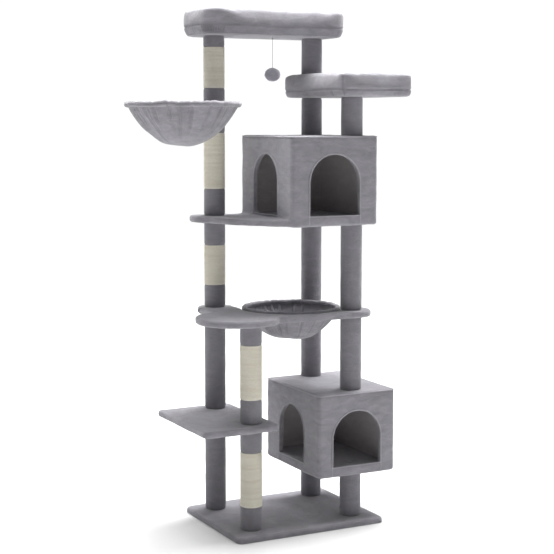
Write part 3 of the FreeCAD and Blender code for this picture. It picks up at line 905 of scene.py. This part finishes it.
def bowl_surface(name, centre, radius, top, depth, fullness, rings=40, sides=288):
    """A hanging bowl pulled ring by ring from its rim to its middle."""
    bowl = new_piece(name, bpy.ops.mesh.primitive_circle_add, vertices=sides, radius=radius,
                     location=(*centre, top))
    settle(bowl)
    pick(bowl, "VERT", lambda co: True)
    for step in range(rings - 1, 0, -1):
        outer, inner = (step + 1) / rings, step / rings
        drop = depth * (outer ** fullness - inner ** fullness)
        bpy.ops.mesh.extrude_region_move(TRANSFORM_OT_translate={"value": (0, 0, -drop)})
        bpy.ops.transform.resize(value=(inner / outer, inner / outer, 1),
                                 center_override=(*centre, top))
    bpy.ops.mesh.edge_face_add()
    bpy.ops.mesh.poke()
    bpy.ops.mesh.select_all(action="SELECT")
    bpy.ops.mesh.normals_make_consistent(inside=False)
    put_down()
    return bowl


def pleat_plan(seed, spacing):
    """Where the gathers fall: bearing, width in radians, reach down the bowl, and depth."""
    draw = random.Random(seed)
    plan, bearing = [], -180.0
    while bearing < 178:
        near, length, strength = spacing(bearing)
        plan.append((math.radians(bearing), math.radians(draw.uniform(0.9, 1.9)),
                     min(0.95, length * draw.uniform(0.55, 1.3)),
                     strength * draw.uniform(0.35, 1.0)))
        bearing += near * draw.uniform(0.6, 1.45)
    return plan


def turn_between(a, b):
    return (a - b + math.pi) % (2 * math.pi) - math.pi


def gathered(plan, bearing, down, depth):
    """How far the cloth folds in at a bearing, a share of the way down from the rim."""
    fold = 0.0
    for middle, width, reach, strength in plan:
        away = abs(turn_between(bearing, middle))
        if away > 5 * width or down > reach:
            continue
        fade = math.cos(min(1, down / reach) * math.pi / 2) ** 0.8
        dip = math.exp(-(away / width) ** 2)
        ridge_beside = 0.35 * math.exp(-((away - 2 * width) / width) ** 2)
        fold += strength * fade * (dip - ridge_beside)
    return fold * depth


def hooped_bowl(name, fullness, plan, fold_depth):
    """Plush hung in a hoop: a gathered bowl and the casing that is rolled round the hoop."""
    centre, radius, top = hoop(name)
    edge = top - 0.004
    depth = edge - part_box(f"{name}_fabric")[0].z
    bowl = bowl_surface(f"{name}_bowl", centre, radius, edge, depth, fullness)
    for vertex in bowl.data.vertices:
        arm = vertex.co.xy - Vector(centre)
        share = arm.length / radius
        bearing = math.atan2(arm.y, arm.x)
        if share < 1e-3:
            continue
        slope = fullness * depth * share ** (fullness - 1) / radius
        out = Vector((math.cos(bearing) * slope, math.sin(bearing) * slope, -1)).normalized()
        fold = gathered(plan, bearing, 1 - share, fold_depth)
        belly = 0.005 * math.sin(math.pi * share)
        billow = belly + noise.noise(vertex.co / 0.06) * 0.004 * min(1, (1 - share) * 6)
        vertex.co += out * (billow - fold * min(1, 0.25 + (1 - share) * 8))
    apply_modifier(bowl, "SOLIDIFY", thickness=0.003, offset=1)
    casing = new_piece(f"{name}_rim_casing", bpy.ops.mesh.primitive_torus_add, major_radius=radius,
                       minor_radius=CASING_VISIBLE, major_segments=420, minor_segments=18,
                       location=(*centre, top))
    settle(casing)
    for vertex in casing.data.vertices:
        arm = vertex.co.xy - Vector(centre)
        bearing = math.atan2(arm.y, arm.x)
        core = Vector((*(Vector(centre) + arm.normalized() * radius), top))
        pinch = 0.30 * gathered(plan, bearing, 0.0, 1.0)
        ring = Vector((math.cos(bearing), math.sin(bearing), 0))
        ripple = noise.noise(ring * 7) * 0.16 + noise.noise(ring * 19) * 0.14
        sway = Vector((0, 0, noise.noise(ring * 4 + Vector((5, 5, 5))) * 0.0025))
        vertex.co = core + sway + (vertex.co - core) * min(1.22, 1.06 - max(0, pinch) + ripple)
    finish_piece(casing, BOWL_PLUSH, "bowl_plush")
    finish_piece(bowl, BOWL_PLUSH, "bowl_plush", f"{name}_fabric")


def basket_and_hammock():
    """Each plan says how far on the next gather is in degrees, how far down it goes, how deep."""
    def basket_spacing(bearing):
        at_left = bearing > 120 or bearing < -150
        return (5.5, 0.85, 0.5) if at_left else (15.0, 0.45, 1.0)

    def hammock_spacing(bearing):
        return 15.0, 0.6, 0.9

    hooped_bowl("basket", fullness=2.1, plan=pleat_plan(4, basket_spacing), fold_depth=0.0085)
    hooped_bowl("hammock", fullness=2.65, plan=pleat_plan(9, hammock_spacing), fold_depth=0.0085)


# ---------------------------------------------------------------- bed and perch


def puff(piece, cap, pressure=2.5):
    """Let air into a cushion with its floor held still, and stop it where its stuffing would."""
    start = [vertex.co.copy() for vertex in piece.data.vertices]
    held = piece.vertex_groups.new(name="held")
    floor = min(co.z for co in start)
    held.add([i for i, co in enumerate(start) if co.z < floor + 0.003], 1.0, "REPLACE")
    use(piece)
    cloth = piece.modifiers.new("cloth", "CLOTH")
    cloth.settings.use_pressure = True
    cloth.settings.uniform_pressure_force = pressure
    cloth.settings.bending_stiffness = 6
    cloth.settings.effector_weights.gravity = 0
    cloth.settings.vertex_group_mass = "held"
    cloth.point_cache.frame_start = 1
    cloth.point_cache.frame_end = 20
    for moment in range(1, 21):
        bpy.context.scene.frame_set(moment)
    bpy.ops.object.modifier_apply(modifier=cloth.name)
    bpy.context.scene.frame_set(1)
    for vertex, before in zip(piece.data.vertices, start):
        moved = vertex.co - before
        if moved.length > cap:
            vertex.co = before + moved.normalized() * cap
        vertex.co.z = max(vertex.co.z, floor)


def round_the_side(place, low, high, corner):
    """Distance round a rounded rectangle from its front left corner, and how far out a point is."""
    x = min(max(place.x, low.x + corner), high.x - corner)
    y = min(max(place.y, low.y + corner), high.y - corner)
    out = Vector((place.x - x, place.y - y))
    if out.length < 1e-6:
        return None, out
    turn = (math.atan2(out.y, out.x) + math.pi / 2) % (2 * math.pi)
    sides = (high.x - low.x - 2 * corner, high.y - low.y - 2 * corner)
    reached = (x - low.x - corner, y - low.y - corner, high.x - corner - x, high.y - corner - y)
    side = min(3, int(turn / (math.pi / 2) + 1e-6))
    return corner * turn + sum((sides * 2)[:side]) + reached[side], out


def bolstered_bed(name, node, corner, rim, pad_top, roll, taper, cap, crease, gathers, seed):
    """A padded rim round a soft pad, gathered under the board along a creased seam.

    rim is the rim's width, roll how round its top is, taper how far its foot tucks in, cap how
    far the filling may push, and crease the seam's height. A gather is a place, width and depth.
    """
    low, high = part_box(node)
    bed = slab(name, low.x + SHRINK, high.x - SHRINK, low.y + SHRINK, high.y - SHRINK, low.z,
               high.z - SHRINK, corner - SHRINK)
    well = slab("well", low.x + rim, high.x - rim, low.y + rim, high.y - rim, pad_top - 0.004,
                high.z + 0.03, max(0.02, corner - 0.5 * rim))
    carve(bed, well)
    rim_top = high.z - SHRINK
    pick(bed, "EDGE", lambda a, b: level(a, b) and abs(a.z - rim_top) < 1e-4)
    bpy.ops.mesh.bevel(offset=roll, segments=5, affect="EDGES", clamp_overlap=True)
    put_down()
    pick(bed, "EDGE", lambda a, b: level(a, b) and abs(a.z - low.z) < 1e-4)
    bpy.ops.mesh.bevel(offset=0.005, segments=3, affect="EDGES", clamp_overlap=True)
    put_down()
    apply_modifier(bed, "REMESH", mode="VOXEL", voxel_size=BED_GRAIN)
    apply_modifier(bed, "SMOOTH", factor=0.5, iterations=4)
    puff(bed, cap)
    apply_modifier(bed, "SMOOTH", factor=0.5, iterations=12)
    apply_modifier(bed, "SUBSURF", levels=1, render_levels=1)
    draw = random.Random(seed)
    folds = [(draw.uniform(0, 1.7), draw.uniform(0.004, 0.009), draw.uniform(0.3, 1))
             for _ in range(46)]
    seam = low.z + crease
    for vertex in bed.data.vertices:
        place = vertex.co
        along, out = round_the_side(place, low, high, corner)
        if along is None or out.length < corner - 0.03:
            continue
        out3 = Vector((*out.normalized(), 0))
        wander = seam + noise.noise(Vector((along * 7, 3.1, seed))) * 0.003
        groove = CREASE_DEPTH * math.exp(-((place.z - wander) / CREASE_WIDTH) ** 2)
        below = max(0.0, 1 - (place.z - low.z) / crease)
        tuck = taper * below ** 1.3
        pull = 0.0
        if place.z < wander:
            for middle, width, strength in folds + gathers:
                pull += strength * math.exp(-((along - middle) / width) ** 2)
        share = min(1, max(0, (place.z - low.z) / crease))
        fold = FOLD_DEPTH * pull * math.sin(math.pi * share)
        swell = noise.noise(place / 0.09) * 0.0030 + noise.noise(place / 0.035) * 0.0012
        vertex.co += out3 * (swell - groove - tuck - fold)
    return bed


def top_bed():
    """The highest bed, its front left corner gathered in close pleats."""
    low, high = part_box("bed_cushion")
    corner = 0.066
    edge = (high.x - low.x - 2 * corner) + (high.y - low.y - 2 * corner)
    perimeter = 2 * edge + 2 * math.pi * corner
    gathers = [(perimeter - 0.104 + 0.0115 * i, 0.0034, 4.2) for i in range(11)]
    bed = bolstered_bed("bed_bolster_and_pad", "bed_cushion", corner, rim=0.052, pad_top=1.865,
                        roll=0.025, taper=0.013, cap=0.008, crease=0.035, gathers=gathers, seed=5)
    finish_piece(bed, PLUSH_GREY, "plush", "bed_cushion")


def perch():
    """The lower bed, with a seam down its front left corner and a hole for the back post."""
    low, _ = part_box("perch_cushion")
    bed = bolstered_bed("perch_bolster_and_pad", "perch_cushion", 0.026, rim=0.042, pad_top=1.637,
                        roll=0.016, taper=0.006, cap=0.007, crease=0.026, gathers=[], seed=8)
    corner = Vector((low.x, low.y))
    inward = Vector((1, 1, 0)).normalized()
    for vertex in bed.data.vertices:
        away = (vertex.co.xy - corner).length
        if away < 0.03:
            along = (vertex.co.x - low.x) - (vertex.co.y - low.y)
            vertex.co += inward * 0.0035 * math.exp(-(along / 0.003) ** 2)
    carve(bed, round_block("post hole", POSTS["back_right"], POST_RADIUS + 0.0006, 1.605, 1.72))
    finish_piece(bed, PLUSH_GREY, "plush", "perch_cushion")


set_camera()
set_studio()
dress_carried_nodes()
hanging_toy()
base_and_step()
lounge()
lower_house()
upper_house()
post_sleeves()
sisal()
basket_and_hammock()
top_bed()
perch()
